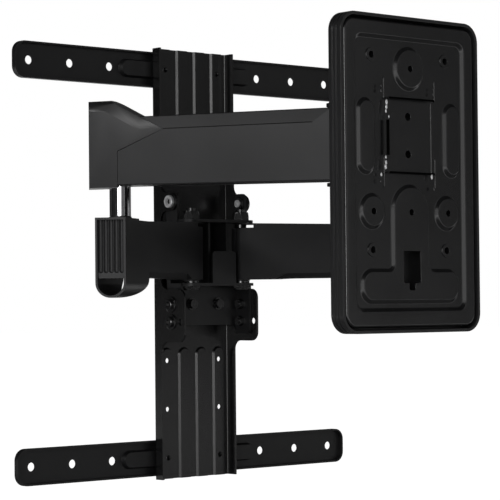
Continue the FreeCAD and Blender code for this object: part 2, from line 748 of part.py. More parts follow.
def make_rear_cover():
    """Moulded sleeve round the rear tube, with a cable scoop below the elbow."""
    end = ARM_LENGTH + HOOD_REACH
    hood_start = ARM_LENGTH - HOOD_CURVE_BACK
    lip = ARM_LENGTH - REAR_HOOD_LIP
    sleeve = side_profile([
        (-COVER_END, REAR_COVER_LOW), (REAR_KINK_START, REAR_COVER_LOW),
        (REAR_KINK_END, REAR_COVER_BELLY), (hood_start + OVERCUT, REAR_COVER_BELLY),
        (hood_start + OVERCUT, REAR_TOP_ELBOW), (REAR_SLOT_LENGTH, REAR_TOP_HINGE),
        (-COVER_END, REAR_TOP_HINGE),
    ], COVER_HALF)
    plan = slab([V(-COVER_END, -COVER_HALF, REAR_COVER_LOW), V(end, -COVER_HALF, REAR_COVER_LOW),
                 V(end, COVER_HALF, REAR_COVER_LOW), V(-COVER_END, COVER_HALF, REAR_COVER_LOW)],
                [COVER_END_ROUND, 0, 0, COVER_END_ROUND], V(0, 0, REAR_TOP_HINGE - REAR_COVER_LOW))
    sleeve = sleeve.common(plan)
    drop = REAR_CREASE - REAR_COVER_LOW
    facet = long_section([(COVER_HALF, REAR_CREASE), (COVER_HALF - drop, REAR_COVER_LOW),
                          (COVER_HALF + drop, REAR_COVER_LOW), (COVER_HALF + drop, REAR_CREASE)],
                         REAR_KINK_START, hood_start)
    reach = side_profile([(REAR_KINK_START, REAR_COVER_LOW), (REAR_KINK_END, REAR_CREASE),
                          (hood_start, REAR_CREASE), (hood_start, REAR_COVER_LOW)], 2 * COVER_HALF)
    sleeve = sleeve.cut(mirrored_pair(facet.common(reach)))
    hood = hood_block(COVER_HALF, REAR_HOOD_LOW, REAR_TOP_ELBOW)
    rim = box(lip, end, -COVER_HALF, COVER_HALF, REAR_TOP_ELBOW, REAR_HOOD_TOP)
    body = fuse_all([sleeve, hood, rim])
    slanted = beyond_mouth(0, COVER_HALF, REAR_HOOD_LOW, REAR_HOOD_TOP)
    floor = REAR_COVER_BELLY + COVER_WALL
    eased = INNER_HALF - COVER_EASE
    inside = long_section([(INNER_HALF, REAR_TOP_HINGE), (INNER_HALF, floor + COVER_EASE),
                           (eased, floor), (-eased, floor),
                           (-INNER_HALF, floor + COVER_EASE), (-INNER_HALF, REAR_TOP_HINGE)],
                          COVER_END, end)
    under_roof = side_profile([
        (-COVER_END, REAR_COVER_LOW), (end, REAR_COVER_LOW), (end, REAR_TOP_ELBOW - COVER_WALL),
        (ARM_LENGTH, REAR_TOP_ELBOW - COVER_WALL), (REAR_SLOT_LENGTH, REAR_TOP_HINGE - COVER_WALL),
        (-COVER_END, REAR_TOP_HINGE - COVER_WALL),
    ], COVER_HALF)
    scoop = trough(hood_start, end + OVERCUT, INNER_HALF, REAR_HOOD_LOW + COVER_WALL, HOOD_SCOOP_TOP)
    screen_back = HOOD_SCREEN_INSET + COVER_WALL
    behind_screen = beyond_mouth(screen_back, COVER_HALF, HOOD_SCREEN_LOW, REAR_HOOD_TOP)
    niche = beyond_mouth(HOOD_SCREEN_INSET, INNER_HALF, HOOD_SCREEN_LOW - OVERCUT,
                         REAR_HOOD_TOP - COVER_WALL)
    hollow = inside.common(under_roof).fuse(scoop).cut(behind_screen)
    slot = box(-COVER_END, REAR_SLOT_LENGTH, -COVER_HALF, COVER_HALF, REAR_SLOT_LOW, REAR_SLOT_HIGH)
    cutters = [slanted, hollow, niche, slot]
    pitch = 2 * INNER_HALF / FLUTE_COUNT
    for index in range(FLUTE_COUNT):
        across = -INNER_HALF + pitch / 2 + pitch * index
        along = end - HOOD_SCREEN_INSET - mouth_line(across) + FLUTE_R / 2
        foot = V(along, across, HOOD_SCREEN_LOW + FLUTE_FOOT)
        cutters.append(rod(FLUTE_R, REAR_HOOD_TOP - COVER_WALL - foot.z, foot, UP))
        cutters.append(Part.makeSphere(FLUTE_R, foot))
    for along, radius in ((0, HINGE_BARREL_R), (ARM_LENGTH, ELBOW_BARREL_R)):
        cutters.append(rod(radius + COVER_CLEARANCE, REAR_HOOD_TOP - REAR_HOOD_LOW,
                           V(along, 0, REAR_COVER_LOW), UP))
    return cut_all(body, cutters)


def fore_section(half, low, crease, top, top_half, start, end):
    """Section across the forearm cover: square below, drawn in above the crease."""
    return long_section([(half, low), (half, crease), (top_half, top), (-top_half, top),
                         (-half, crease), (-half, low)], start, end)


def make_fore_cover():
    """Moulded sleeve round the forearm tube, with drawn-in top edges that stop short of the head."""
    end = ARM_LENGTH + COVER_END
    seam = CAP_SEAM + SEAM_GAP
    outline = side_profile([
        (seam, FORE_COVER_LOW_ELBOW), (end, FORE_COVER_LOW_HEAD), (end, FORE_TOP),
        (CAP_ROOF_END + SEAM_GAP, FORE_TOP), (CAP_POINT + SEAM_GAP, FORE_CREASE),
        (seam, CAP_SEAM_TOP - SEAM_GAP),
    ], COVER_HALF)
    plan = slab([V(0, -COVER_HALF, FORE_COVER_LOW_HEAD), V(end, -COVER_HALF, FORE_COVER_LOW_HEAD),
                 V(end, COVER_HALF, FORE_COVER_LOW_HEAD), V(0, COVER_HALF, FORE_COVER_LOW_HEAD)],
                [0, COVER_END_ROUND, COVER_END_ROUND, 0], V(0, 0, FORE_TOP - FORE_COVER_LOW_HEAD))
    rise = FORE_TOP - FORE_CREASE
    facet = long_section([(COVER_HALF, FORE_CREASE), (FORE_TOP_HALF, FORE_TOP),
                          (COVER_HALF + rise, FORE_TOP), (COVER_HALF + rise, FORE_CREASE)],
                         0, ARM_LENGTH)
    reach = side_profile([(0, FORE_CREASE), (FORE_KINK_START, FORE_CREASE),
                          (FORE_KINK_END, FORE_TOP), (0, FORE_TOP)], 2 * COVER_HALF)
    body = outline.common(plan).cut(mirrored_pair(facet.common(reach)))
    inside = fore_section(INNER_HALF, FORE_COVER_LOW_ELBOW + COVER_WALL,
                          FORE_CREASE - COVER_WALL / 2, FORE_TOP - COVER_WALL,
                          FORE_TOP_HALF - COVER_WALL / 2, 0, ARM_LENGTH - COVER_WALL)
    cutters = [inside]
    for along, radius in ((0, ELBOW_BARREL_R), (ARM_LENGTH, HINGE_BARREL_R)):
        cutters.append(rod(radius + COVER_CLEARANCE, 2 * (FORE_TOP - FORE_COVER_LOW_HEAD),
                           V(along, 0, FORE_COVER_LOW_HEAD - OVERCUT), UP))
    return cut_all(body, cutters)


def cap_facets(start, shift):
    """What is taken off a cap's two upper edges: level past the roof's end, climbing before it."""
    rise = FORE_TOP - FORE_CREASE
    section = [(COVER_HALF, FORE_CREASE), (FORE_TOP_HALF, FORE_TOP),
               (COVER_HALF + rise, FORE_TOP), (COVER_HALF + rise, FORE_CREASE)]
    climb = (CAP_TOP - FORE_TOP) / (CAP_ROOF_END - CAP_FLAT_END) * (CAP_ROOF_END - start)
    level = long_section(section, CAP_ROOF_END, CAP_POINT)
    wires = []
    for along, lift in ((start, climb), (CAP_ROOF_END, 0)):
        corners = [V(along, across, up + lift) for across, up in section]
        wires.append(rounded(corners, [0] * len(corners)))
    climbing = Part.makeLoft(wires, True, True)
    facets = []
    for piece in (level, climbing):
        piece.translate(shift)
        facets += mirrored_pair(piece)
    return facets


def make_elbow_cap():
    """Domed cap over the elbow, with a pointed flank along the forearm and an open, slanted mouth."""
    mouth = -CAP_REACH
    start = mouth - CAP_SLANT
    outline = side_profile([
        (start, CAP_LOW), (CAP_SEAM, CAP_LOW), (CAP_SEAM, CAP_SEAM_TOP),
        (CAP_POINT, FORE_CREASE), (CAP_ROOF_END, FORE_TOP), (CAP_FLAT_END, CAP_TOP),
        (start, CAP_TOP),
    ], COVER_HALF)
    dome = slab([V(start, -COVER_HALF, CAP_LOW), V(start, COVER_HALF, CAP_LOW),
                 V(start, COVER_HALF, CAP_TOP), V(start, -COVER_HALF, CAP_TOP)],
                [0, 0, CAP_ROUND, CAP_ROUND], V(CAP_POINT - start, 0, 0))
    slant = slab([V(start, COVER_HALF, CAP_LOW), V(mouth, COVER_HALF, CAP_LOW),
                  V(start, -COVER_HALF, CAP_LOW)], 0, V(0, 0, CAP_TOP - CAP_LOW))
    body = outline.common(dome).cut(cap_facets(start, V(0, 0, 0)) + [slant])
    inner_round = CAP_ROUND - COVER_WALL
    back, front = start - OVERCUT, CAP_POINT + OVERCUT
    low, top = CAP_LOW + COVER_WALL, CAP_TOP - COVER_WALL
    inside = slab([V(back, -INNER_HALF, low), V(back, INNER_HALF, low),
                   V(back, INNER_HALF, top), V(back, -INNER_HALF, top)],
                  [0, 0, inner_round, inner_round], V(front - back, 0, 0))
    roof = side_profile([
        (back, CAP_LOW), (front, CAP_LOW), (front, FORE_CREASE - COVER_WALL),
        (CAP_POINT, FORE_CREASE - COVER_WALL), (CAP_ROOF_END, FORE_TOP - COVER_EASE),
        (CAP_FLAT_END, top), (back, top),
    ], COVER_HALF)
    inward = V(0, FORE_CREASE - FORE_TOP, FORE_TOP_HALF - COVER_HALF).normalize() * COVER_WALL
    hollow = inside.common(roof).cut(cap_facets(back, inward))
    shaft_hole = rod(SHAFT_R + 2 * COVER_CLEARANCE, 2 * COVER_WALL,
                     V(0, 0, CAP_LOW - COVER_WALL / 2), UP)
    return cut_all(body, [hollow, shaft_hole])


def make_shaft():
    """Polished elbow shaft: thick middle between the arms, thinner journals in the bushings."""
    low = REAR_ELBOW_LOW - BUSH_FLANGE - AXIAL_PLAY
    shoulder_low = REAR_HIGH + BUSH_FLANGE + AXIAL_PLAY
    shoulder_high = FORE_LOW - BUSH_FLANGE - AXIAL_PLAY
    high = FORE_HIGH + BUSH_FLANGE + AXIAL_PLAY
    body = rod(JOURNAL_R, high - low, V(0, 0, low), UP)
    body = body.fuse(rod(SHAFT_R, shoulder_high - shoulder_low, V(0, 0, shoulder_low), UP))
    washers, screws, cutters = [], [], []
    hole_r = SHAFT_SCREW_R + SEAT_CLEARANCE
    for end, way in ((low, UP), (high, UP * -1)):
        base = V(0, 0, end)
        cutters.append(rod(hole_r, SHAFT_SCREW_DEPTH, base, way))
        washers.append(washer(BUSH_FLANGE_R, hole_r, SHAFT_WASHER, base, way * -1))
        screws.append(socket_bolt(SHAFT_SCREW_R, SHAFT_SCREW_DEPTH, SHAFT_SCREW_HEAD_R,
                                  SHAFT_SCREW_HEAD, base - way * SHAFT_WASHER, way))
    return cut_all(body, cutters), washers, screws


# Head

PLATE_FRONT = HEAD_OUT + HEAD_FACE_OUT - PLATE_SETBACK
PANEL_FRONT = PLATE_FRONT - PANEL_STEP
PANEL_BACK = PANEL_FRONT - PLATE_SHEET
TRAY_REAR = HEAD_OUT + HEAD_FACE_OUT - TRAY_DEPTH
PLATE_WIDTH = TRAY_WIDTH - 2 * (TRAY_WALL + PLATE_GAP)
PLATE_HEIGHT = TRAY_HEIGHT - 2 * (TRAY_WALL + PLATE_GAP)
PLATE_ROUND = TRAY_ROUND - TRAY_WALL - PLATE_GAP
HEAD_EAR_LOW = FORE_LOW - BUSH_FLANGE - AXIAL_PLAY - HEAD_WASHER
HEAD_EAR_HIGH = FORE_HIGH + BUSH_FLANGE + AXIAL_PLAY + HEAD_WASHER
YOKE_FRONT = HEAD_OUT + YOKE_WEB_OUT + YOKE_SHEET
TILT_AXIS_OUT = HEAD_OUT + TILT_OUT
TILT_FLANGE_INNER = TILT_HALF - TILT_SHEET
YOKE_EAR_OUTER = TILT_FLANGE_INNER - TILT_SPACER
YOKE_EAR_INNER = YOKE_EAR_OUTER - YOKE_SHEET


def tilt_hole():
    """Hole along the tilt axis through every ear and flange."""
    return rod(TILT_R + RUNNING_CLEARANCE, 2 * TILT_HALF,
               at(HEAD_X - TILT_HALF, TILT_AXIS_OUT, TILT_UP), V(1, 0, 0))


def make_yoke():
    """Folded bracket on the forearms: two hinge flanges, a web and two tilt ears."""
    half = HINGE_HALF + EAR_ROUND
    pieces = []
    for base in (HEAD_EAR_LOW - YOKE_SHEET, HEAD_EAR_HIGH):
        points = [at(HEAD_X - half, HEAD_OUT - EAR_ROUND, base),
                  at(HEAD_X + half, HEAD_OUT - EAR_ROUND, base),
                  at(HEAD_X + half, YOKE_FRONT, base), at(HEAD_X - half, YOKE_FRONT, base)]
        pieces.append(slab(points, [EAR_ROUND, EAR_ROUND, 0, 0], V(0, 0, YOKE_SHEET)))
    pieces.append(box(HEAD_X - half, HEAD_X + half, -YOKE_FRONT, -YOKE_FRONT + YOKE_SHEET,
                      HEAD_EAR_LOW - YOKE_SHEET, HEAD_EAR_HIGH + YOKE_SHEET))
    tip = TILT_AXIS_OUT + TILT_EAR_REACH
    back = YOKE_FRONT - YOKE_SHEET
    for x in (HEAD_X - YOKE_EAR_OUTER, HEAD_X + YOKE_EAR_INNER):
        ear = [at(x, back, TILT_UP - TILT_EAR_ROOT), at(x, tip, TILT_UP - TILT_ROUND),
               at(x, tip, TILT_UP + TILT_ROUND), at(x, back, TILT_UP + TILT_EAR_ROOT)]
        pieces.append(slab(ear, [0, TILT_EAR_CORNER, TILT_EAR_CORNER, 0], V(YOKE_SHEET, 0, 0)))
    cutters = []
    for axis in (LEFT_HEAD, RIGHT_HEAD):
        cutters.append(rod(HINGE_R + RUNNING_CLEARANCE, 2 * (HEAD_EAR_HIGH - HEAD_EAR_LOW),
                           V(axis.x, axis.y, HEAD_EAR_LOW - 2 * YOKE_SHEET), UP))
    cutters.append(tilt_hole())
    return cut_all(fuse_all(pieces), cutters)


def tilt_hardware():
    """Bolts through the yoke's ears that carry the tilt bracket, with spacers and nuts."""
    bolts, nuts, rings = [], [], []
    nut_height = TILT_R * 2 * NUT_SCALE
    ring_r = TILT_R + WASHER_EDGE
    length = TILT_HALF + TILT_SPACER - YOKE_EAR_INNER + nut_height + THREAD_END
    hole = TILT_R + RUNNING_CLEARANCE
    for side in (-1, 1):
        inward = V(-side, 0, 0)
        head_seat = at(HEAD_X + side * (TILT_HALF + TILT_SPACER), TILT_AXIS_OUT, TILT_UP)
        ear_face = at(HEAD_X + side * YOKE_EAR_OUTER, TILT_AXIS_OUT, TILT_UP)
        nut_seat = at(HEAD_X + side * YOKE_EAR_INNER, TILT_AXIS_OUT, TILT_UP)
        bolts.append(hex_bolt(TILT_R, length, TILT_HEAD, head_seat, inward))
        nuts.append(hex_nut(TILT_R, nut_height, nut_seat, inward))
        rings.append(washer(ring_r, hole, TILT_SPACER - AXIAL_PLAY, head_seat, inward))
        rings.append(washer(ring_r, hole, TILT_SPACER - AXIAL_PLAY, ear_face, inward * -1))
    return bolts, nuts, rings


def make_tilt_bracket():
    """U bracket welded to the back of the plate, its flanges hung on the tilt bolts."""
    low, high = TILT_UP - TILT_HEIGHT / 2, TILT_UP + TILT_HEIGHT / 2
    base = box(HEAD_X - TILT_HALF, HEAD_X + TILT_HALF, -PANEL_BACK, -PANEL_BACK + TILT_SHEET,
               low, high)
    pieces = [base]
    tip = TILT_AXIS_OUT - TILT_TIP_REACH
    for x in (HEAD_X - TILT_HALF, HEAD_X + TILT_FLANGE_INNER):
        flange = [at(x, PANEL_BACK, low), at(x, PANEL_BACK, high),
                  at(x, tip, TILT_UP + TILT_TIP_HALF), at(x, tip, TILT_UP - TILT_TIP_HALF)]
        pieces.append(slab(flange, [0, 0, TILT_TIP_CORNER, TILT_TIP_CORNER], V(TILT_SHEET, 0, 0)))
    window = wall_slab(HEAD_X, TILT_UP, 2 * (YOKE_EAR_INNER - TILT_ROUND),
                       TILT_HEIGHT - 4 * TILT_ROUND, TILT_ROUND / 2,
                       PANEL_BACK - TILT_SHEET, TILT_SHEET)
    return cut_all(fuse_all(pieces), [tilt_hole(), window])


def make_tray():
    """Shallow tray round the plate, grooved along its sides and open behind the tilt bracket."""
    body = wall_slab(HEAD_X, TRAY_UP, TRAY_WIDTH, TRAY_HEIGHT, TRAY_ROUND, TRAY_REAR, TRAY_DEPTH)
    hollow = wall_slab(HEAD_X, TRAY_UP, TRAY_WIDTH - 2 * TRAY_WALL, TRAY_HEIGHT - 2 * TRAY_WALL,
                       TRAY_ROUND - TRAY_WALL, TRAY_REAR + TRAY_BACK, TRAY_DEPTH)
    window = wall_slab(HEAD_X, TILT_UP, 2 * TRAY_WINDOW_HALF, TRAY_WINDOW_HEIGHT, TRAY_WINDOW_ROUND,
                       TRAY_REAR - OVERCUT, TRAY_DEPTH)
    cutters = [hollow, window]
    for place in GROOVE_PLACES:
        ring = wall_slab(HEAD_X, TRAY_UP, TRAY_WIDTH + OVERCUT, TRAY_HEIGHT + OVERCUT,
                         TRAY_ROUND + OVERCUT / 2, TRAY_REAR + place, GROOVE_WIDTH)
        core = wall_slab(HEAD_X, TRAY_UP, TRAY_WIDTH - 2 * GROOVE_DEPTH,
                         TRAY_HEIGHT - 2 * GROOVE_DEPTH, TRAY_ROUND - GROOVE_DEPTH,
                         TRAY_REAR + place, GROOVE_WIDTH)
        cutters.append(ring.cut(core))
    return cut_all(body, cutters)


def stem_outline(inset, out):
    """Outline of the stem and its broad foot, drawn in by an inset."""
    foot_half, stem_half = FOOT_WIDTH / 2 - inset, STEM_WIDTH / 2 - inset
    low, high, top = FOOT_LOW + inset, FOOT_HIGH - inset, STEM_TOP - inset
    outline = [(-foot_half, low), (foot_half, low), (foot_half, high), (stem_half, high),
               (stem_half, top), (-stem_half, top), (-stem_half, high), (-foot_half, high)]
    end, inner = FOOT_ROUND - inset, STEM_FILLET + inset
    radii = [end, end, end, inner, stem_half, stem_half, inner, end]
    return rounded([at(HEAD_X + x, out, up) for x, up in outline], radii)


def pad_outline(x, up, width, height, radius, inset, out):
    """Outline of a rounded form on the plate, drawn in by an inset."""
    corners = wall_rect(HEAD_X + x, up, width - 2 * inset, height - 2 * inset, out)
    return rounded(corners, [radius - inset] * len(corners))


def plate_pads():
    """Place, size and corner radius of the forms pressed into the plate's panel."""
    pads = [(0, BOSS_UP, 2 * BOSS_R, 2 * BOSS_R, BOSS_R)]
    for side in (-1, 1):
        pads.append((side * DISC_HALF, DISC_UP, 2 * DISC_R, 2 * DISC_R, DISC_R))
        pads.append((side * LOZENGE_HALF, LOZENGE_UP, LOZENGE_WIDTH, LOZENGE_HEIGHT,
                     LOZENGE_WIDTH / 2))
    return pads


def raised_forms():
    """The pressed forms, each rising in a soft S from the panel."""
    forms = []
    for pad in plate_pads():
        forms.append(Part.makeLoft([
            pad_outline(*pad, inset, PANEL_FRONT + PRESS_RISE * share) for inset, share in PRESS_STEPS
        ], True, True))
    forms.append(Part.makeLoft([
        stem_outline(inset, PANEL_FRONT + PRESS_RISE * share) for inset, share in PRESS_STEPS
    ], True, True))
    return forms


def hollow_backs():
    """What the pressing takes out behind each form."""
    forms = []
    deep = PANEL_BACK + PRESS_RISE
    near, far = PLATE_SHEET, PLATE_SHEET + PRESS_SLOPE
    for pad in plate_pads():
        forms.append(Part.makeLoft([pad_outline(*pad, near, PANEL_BACK),
                                    pad_outline(*pad, far, deep)], True, True))
    forms.append(Part.makeLoft([stem_outline(near, PANEL_BACK), stem_outline(far, deep)], True, True))
    return forms


def make_tv_plate():
    """Stamped plate that takes the television's brackets: sunk panel with pressed stiffening forms."""
    rear = TRAY_REAR + TRAY_BACK
    body = wall_slab(HEAD_X, TRAY_UP, PLATE_WIDTH, PLATE_HEIGHT, PLATE_ROUND, rear, PLATE_FRONT - rear)
    rim = [edge for edge in body.Edges if edge.BoundBox.YMax < PLATE_EDGE - PLATE_FRONT]
    body = body.makeFillet(PLATE_EDGE, rim)
    panel_up = (PANEL_LOW + PANEL_HIGH) / 2
    panel_width, panel_height = 2 * PANEL_HALF, PANEL_HIGH - PANEL_LOW
    inner = (PLATE_WIDTH - 2 * PLATE_SHEET, PLATE_HEIGHT - 2 * PLATE_SHEET, PLATE_ROUND - PLATE_SHEET)
    deep = wall_slab(HEAD_X, TRAY_UP, *inner, rear, PANEL_BACK - rear)
    border = wall_slab(HEAD_X, TRAY_UP, *inner, rear, PLATE_FRONT - PLATE_SHEET - rear).cut(
        wall_slab(HEAD_X, panel_up, panel_width + 2 * PLATE_SHEET, panel_height + 2 * PLATE_SHEET,
                  PANEL_ROUND + PLATE_SHEET, rear, PLATE_FRONT - rear))
    panel = (0, panel_up, panel_width, panel_height, PANEL_ROUND)
    sunk = Part.makeLoft([
        pad_outline(*panel, inset, PLATE_FRONT - PANEL_STEP * share) for inset, share in PRESS_STEPS
    ], True, True)
    seat = wall_slab(HEAD_X, (SEAT_LOW + SEAT_HIGH) / 2, 2 * SEAT_HALF, SEAT_HIGH - SEAT_LOW,
                     0, PANEL_FRONT - SEAT_SINK, PANEL_STEP)
    body = body.cut([deep, border, sunk, seat])
    collars = []
    screws = []
    for x in (-SCREW_SPACING_X / 2, SCREW_SPACING_X / 2):
        for up in (SCREW_CENTRE_UP - SCREW_SPACING_Z / 2, SCREW_CENTRE_UP + SCREW_SPACING_Z / 2):
            foot = at(HEAD_X + x, PANEL_FRONT, up)
            collars.append(rod(SCREW_COLLAR_R, SCREW_COLLAR, foot, at(0, 1, 0)))
            screws.append((x, up, SCREW_R))
    body = fuse_all([body] + raised_forms() + collars)
    hole_list = screws + [(0, BOSS_UP, PLATE_HOLE_R), (0, DISC_UP, PLATE_HOLE_R)]
    hole_list += [(side * DISC_HALF, DISC_UP, PLATE_HOLE_R) for side in (-1, 1)]
    hole_list += [(0, up, CENTRE_HOLE_R) for up in CENTRE_HOLES_UP]
    cutters = hollow_backs()
    depth = PLATE_FRONT - rear + OVERCUT
    for x, up, radius in hole_list:
        cutters.append(rod(radius, depth, at(HEAD_X + x, rear, up), at(0, 1, 0)))
    for low, height in WELD_SLOTS:
        for x in (-TILT_HALF + TILT_SHEET / 2, TILT_HALF - TILT_SHEET / 2):
            cutters.append(wall_slab(HEAD_X + x, low + height / 2, 2 * WELD_SLOT_R, height,
                                     WELD_SLOT_R, PANEL_FRONT - SEAT_SINK, PANEL_STEP))
    for up in (SEAT_LOW, SEAT_HIGH):
        cutters.append(wall_slab(HEAD_X, up, 2 * SEAT_HALF, SEAT_SLIT, 0,
                                 PANEL_FRONT - SEAT_SLIT_DEPTH, PANEL_STEP))
    window_points = [
        (-WINDOW_HALF, WINDOW_HIGH), (-WINDOW_HALF, WINDOW_LOW), (-WINDOW_KEY_HALF, WINDOW_LOW),
        (-WINDOW_KEY_HALF, WINDOW_KEY_LOW), (WINDOW_KEY_HALF, WINDOW_KEY_LOW),
        (WINDOW_KEY_HALF, WINDOW_LOW), (WINDOW_HALF, WINDOW_LOW), (WINDOW_HALF, WINDOW_HIGH),
    ]
    window_radii = [0, WINDOW_ROUND, 0, WINDOW_ROUND, WINDOW_ROUND, 0, WINDOW_ROUND, 0]
    window = [at(HEAD_X + x, rear, up) for x, up in window_points]
    cutters.append(slab(window, window_radii, at(0, depth, 0)))
    return cut_all(body, cutters)


# Placing the arms

def placed(shape, axis, angle, flip):
    """Turn a piece drawn along +X to its plan angle; flip swaps its room-facing side."""
    piece = shape.copy()
    if flip:
        piece = piece.mirror(V(0, 0, 0), V(0, 1, 0))
    piece.rotate(V(0, 0, 0), V(0, 0, 1), angle)
    piece.translate(axis)
    return piece


def placed_group(solids, axis, angle, flip):
    return group([placed(solid, axis, angle, flip) for solid in solids])


def export(name, shape):
    shape.exportStep("parts/" + name + ".step")


def build_wall():
    export("top_strap", make_strap(STRAP_ROW))
    export("bottom_strap", make_strap(-STRAP_ROW))
    export("wall_channel", make_channel())
    export("hinge_bracket", make_hinge_bracket())
    bolts, nuts = side_bolts(PIVOT_R, PIVOT_HEAD_R, PIVOT_HEAD, PIVOT_NUT,
                             UPPER_TAB_OUT, (UPPER_TAB_UP,), 0)
    export("bracket_pivot_bolts", group(bolts))
    export("bracket_pivot_nuts", group(nuts))
    bolts, nuts = side_bolts(LOCK_R, LOCK_HEAD_R, LOCK_HEAD, 2 * LOCK_R * NUT_SCALE,
                             LOCK_OUT, LOCK_ROWS, LOCK_WASHER)
    export("bracket_lock_bolts", group(bolts))
    export("bracket_lock_nuts", group(nuts))
    export("bracket_lock_washers", group(lock_washers()))
    export("level_set_screws", group(set_screws()))
    bolts, nuts, rings = hinge_hardware((LEFT_WALL, RIGHT_WALL), WALL_EAR_LOW, WALL_EAR_HIGH,
                                        BRACKET_SHEET, (WASHER_EDGE, WALL_WASHER),
                                        (SPACER_EDGE, WALL_SPACER))
    export("wall_hinge_bolts", group(bolts))
    export("wall_hinge_nuts", group(nuts))
    export("wall_hinge_washers", group(rings))


def build_arms():
    rear_tube = make_tube(REAR_TUBE_LOW, REAR_TUBE_HIGH,
                          (HINGE_BARREL_R, BUSH_R, REAR_LOW, REAR_HINGE_HIGH),
                          (ELBOW_BARREL_R, ELBOW_BUSH_R, REAR_ELBOW_LOW, REAR_HIGH))
    rear_cover = make_rear_cover()
    rear_hinge = bushings(BUSH_HOLE_R, BUSH_R, HINGE_BARREL_R, REAR_LOW, REAR_HINGE_HIGH, 0)
    rear_elbow = bushings(ELBOW_BUSH_HOLE_R, ELBOW_BUSH_R, BUSH_FLANGE_R,
                          REAR_ELBOW_LOW, REAR_HIGH, ARM_LENGTH)
    fore_tube = make_tube(FORE_TUBE_LOW, FORE_TUBE_HIGH,
                          (ELBOW_BARREL_R, ELBOW_BUSH_R, FORE_LOW, FORE_HIGH),
                          (HINGE_BARREL_R, BUSH_R, FORE_LOW, FORE_HIGH))
    fore_cover = make_fore_cover()
    cap = make_elbow_cap()
    fore_elbow = bushings(ELBOW_BUSH_HOLE_R, ELBOW_BUSH_R, BUSH_FLANGE_R, FORE_LOW, FORE_HIGH, 0)
    fore_hinge = bushings(BUSH_HOLE_R, BUSH_R, HINGE_BARREL_R, FORE_LOW, FORE_HIGH, ARM_LENGTH)
    shaft, shaft_washers, shaft_screws = make_shaft()
    left_angle, right_angle = 180 + REAR_ANGLE, -FORE_ANGLE
    rear_places = (("left", LEFT_WALL, left_angle, False),
                   ("right", RIGHT_WALL, right_angle, True))
    for name, axis, angle, flip in rear_places:
        export(name + "_rear_arm_tube", placed(rear_tube, axis, angle, flip))
        export(name + "_rear_arm_cover", placed(rear_cover, axis, angle, flip))
        export(name + "_rear_hinge_bushings", placed_group(rear_hinge, axis, angle, flip))
        export(name + "_rear_elbow_bushings", placed_group(rear_elbow, axis, angle, flip))
    fore_places = (("left", LEFT_ELBOW, right_angle, True),
                   ("right", RIGHT_ELBOW, left_angle, False))
    for name, axis, angle, flip in fore_places:
        export(name + "_forearm_tube", placed(fore_tube, axis, angle, flip))
        export(name + "_forearm_cover", placed(fore_cover, axis, angle, flip))
        export(name + "_elbow_cap", placed(cap, axis, angle, flip))
        export(name + "_forearm_elbow_bushings", placed_group(fore_elbow, axis, angle, flip))
        export(name + "_forearm_head_bushings", placed_group(fore_hinge, axis, angle, flip))
        export(name + "_elbow_shaft", placed(shaft, axis, 0, False))
        export(name + "_elbow_washers", placed_group(shaft_washers, axis, 0, False))
        export(name + "_elbow_screws", placed_group(shaft_screws, axis, 0, False))


def build_head():
    export("head_yoke", make_yoke())
    bolts, nuts, rings = hinge_hardware((LEFT_HEAD, RIGHT_HEAD), HEAD_EAR_LOW, HEAD_EAR_HIGH,
                                        YOKE_SHEET, (WASHER_EDGE, HEAD_WASHER),
                                        (WASHER_EDGE, HEAD_WASHER))
    export("head_hinge_bolts", group(bolts))
    export("head_hinge_nuts", group(nuts))
    export("head_hinge_washers", group(rings))
    bolts, nuts, rings = tilt_hardware()
    export("tilt_bolts", group(bolts))
    export("tilt_nuts", group(nuts))
    export("tilt_washers", group(rings))
    export("tilt_bracket", make_tilt_bracket())
    export("head_tray", make_tray())
    export("tv_plate", make_tv_plate())


build_wall()
build_arms()
build_head()
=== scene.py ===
# %% [markdown]
# # A full-motion television wall mount
#
# The mount is a real mechanism: a steel channel on two stud straps, paired arms that fold on
# polished elbow shafts, and a tilting plate in a shallow tray. Its construction arrives as a fixed
# frame of solids. This lesson dresses that frame: it sets the camera, the light and the stage,
# softens the edges that catch light, and gives every surface the finish that the real one has.

# %% Load the frame
import json
import math

import bpy
from mathutils import Euler, Matrix, Vector


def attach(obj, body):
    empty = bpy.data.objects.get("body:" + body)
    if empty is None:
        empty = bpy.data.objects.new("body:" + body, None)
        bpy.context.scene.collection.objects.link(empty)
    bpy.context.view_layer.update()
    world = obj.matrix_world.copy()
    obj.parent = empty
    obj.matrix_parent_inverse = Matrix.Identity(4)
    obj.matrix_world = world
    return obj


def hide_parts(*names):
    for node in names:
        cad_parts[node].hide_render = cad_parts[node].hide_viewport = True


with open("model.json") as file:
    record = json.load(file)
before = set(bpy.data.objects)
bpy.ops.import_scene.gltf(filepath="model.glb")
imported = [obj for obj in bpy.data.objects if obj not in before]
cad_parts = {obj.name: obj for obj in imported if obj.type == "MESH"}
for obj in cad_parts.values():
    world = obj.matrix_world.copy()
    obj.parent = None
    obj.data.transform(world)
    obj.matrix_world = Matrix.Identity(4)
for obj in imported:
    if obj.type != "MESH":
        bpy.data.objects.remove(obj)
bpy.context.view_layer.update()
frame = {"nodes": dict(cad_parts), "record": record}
nodes = frame["nodes"]
body_of_node = {
    node: body
    for body, members in frame["record"]["behaviour"]["bodies"].items()
    for node in members
}
slot_of_node = {row["node"]: row["material_slot"] for row in frame["record"]["subparts"]}
MM = 0.001
scene = bpy.context.scene
scene.view_settings.view_transform = "Standard"

# %% [markdown]
# ## Camera
#
# The photograph was taken from the left of the mount, almost level with it, through a long lens:
# the far ends of the straps are only a little smaller than the near ones. A camera can be placed by
# eye, but the straps carry holes at known distances, so its place and lens are worked out from them.

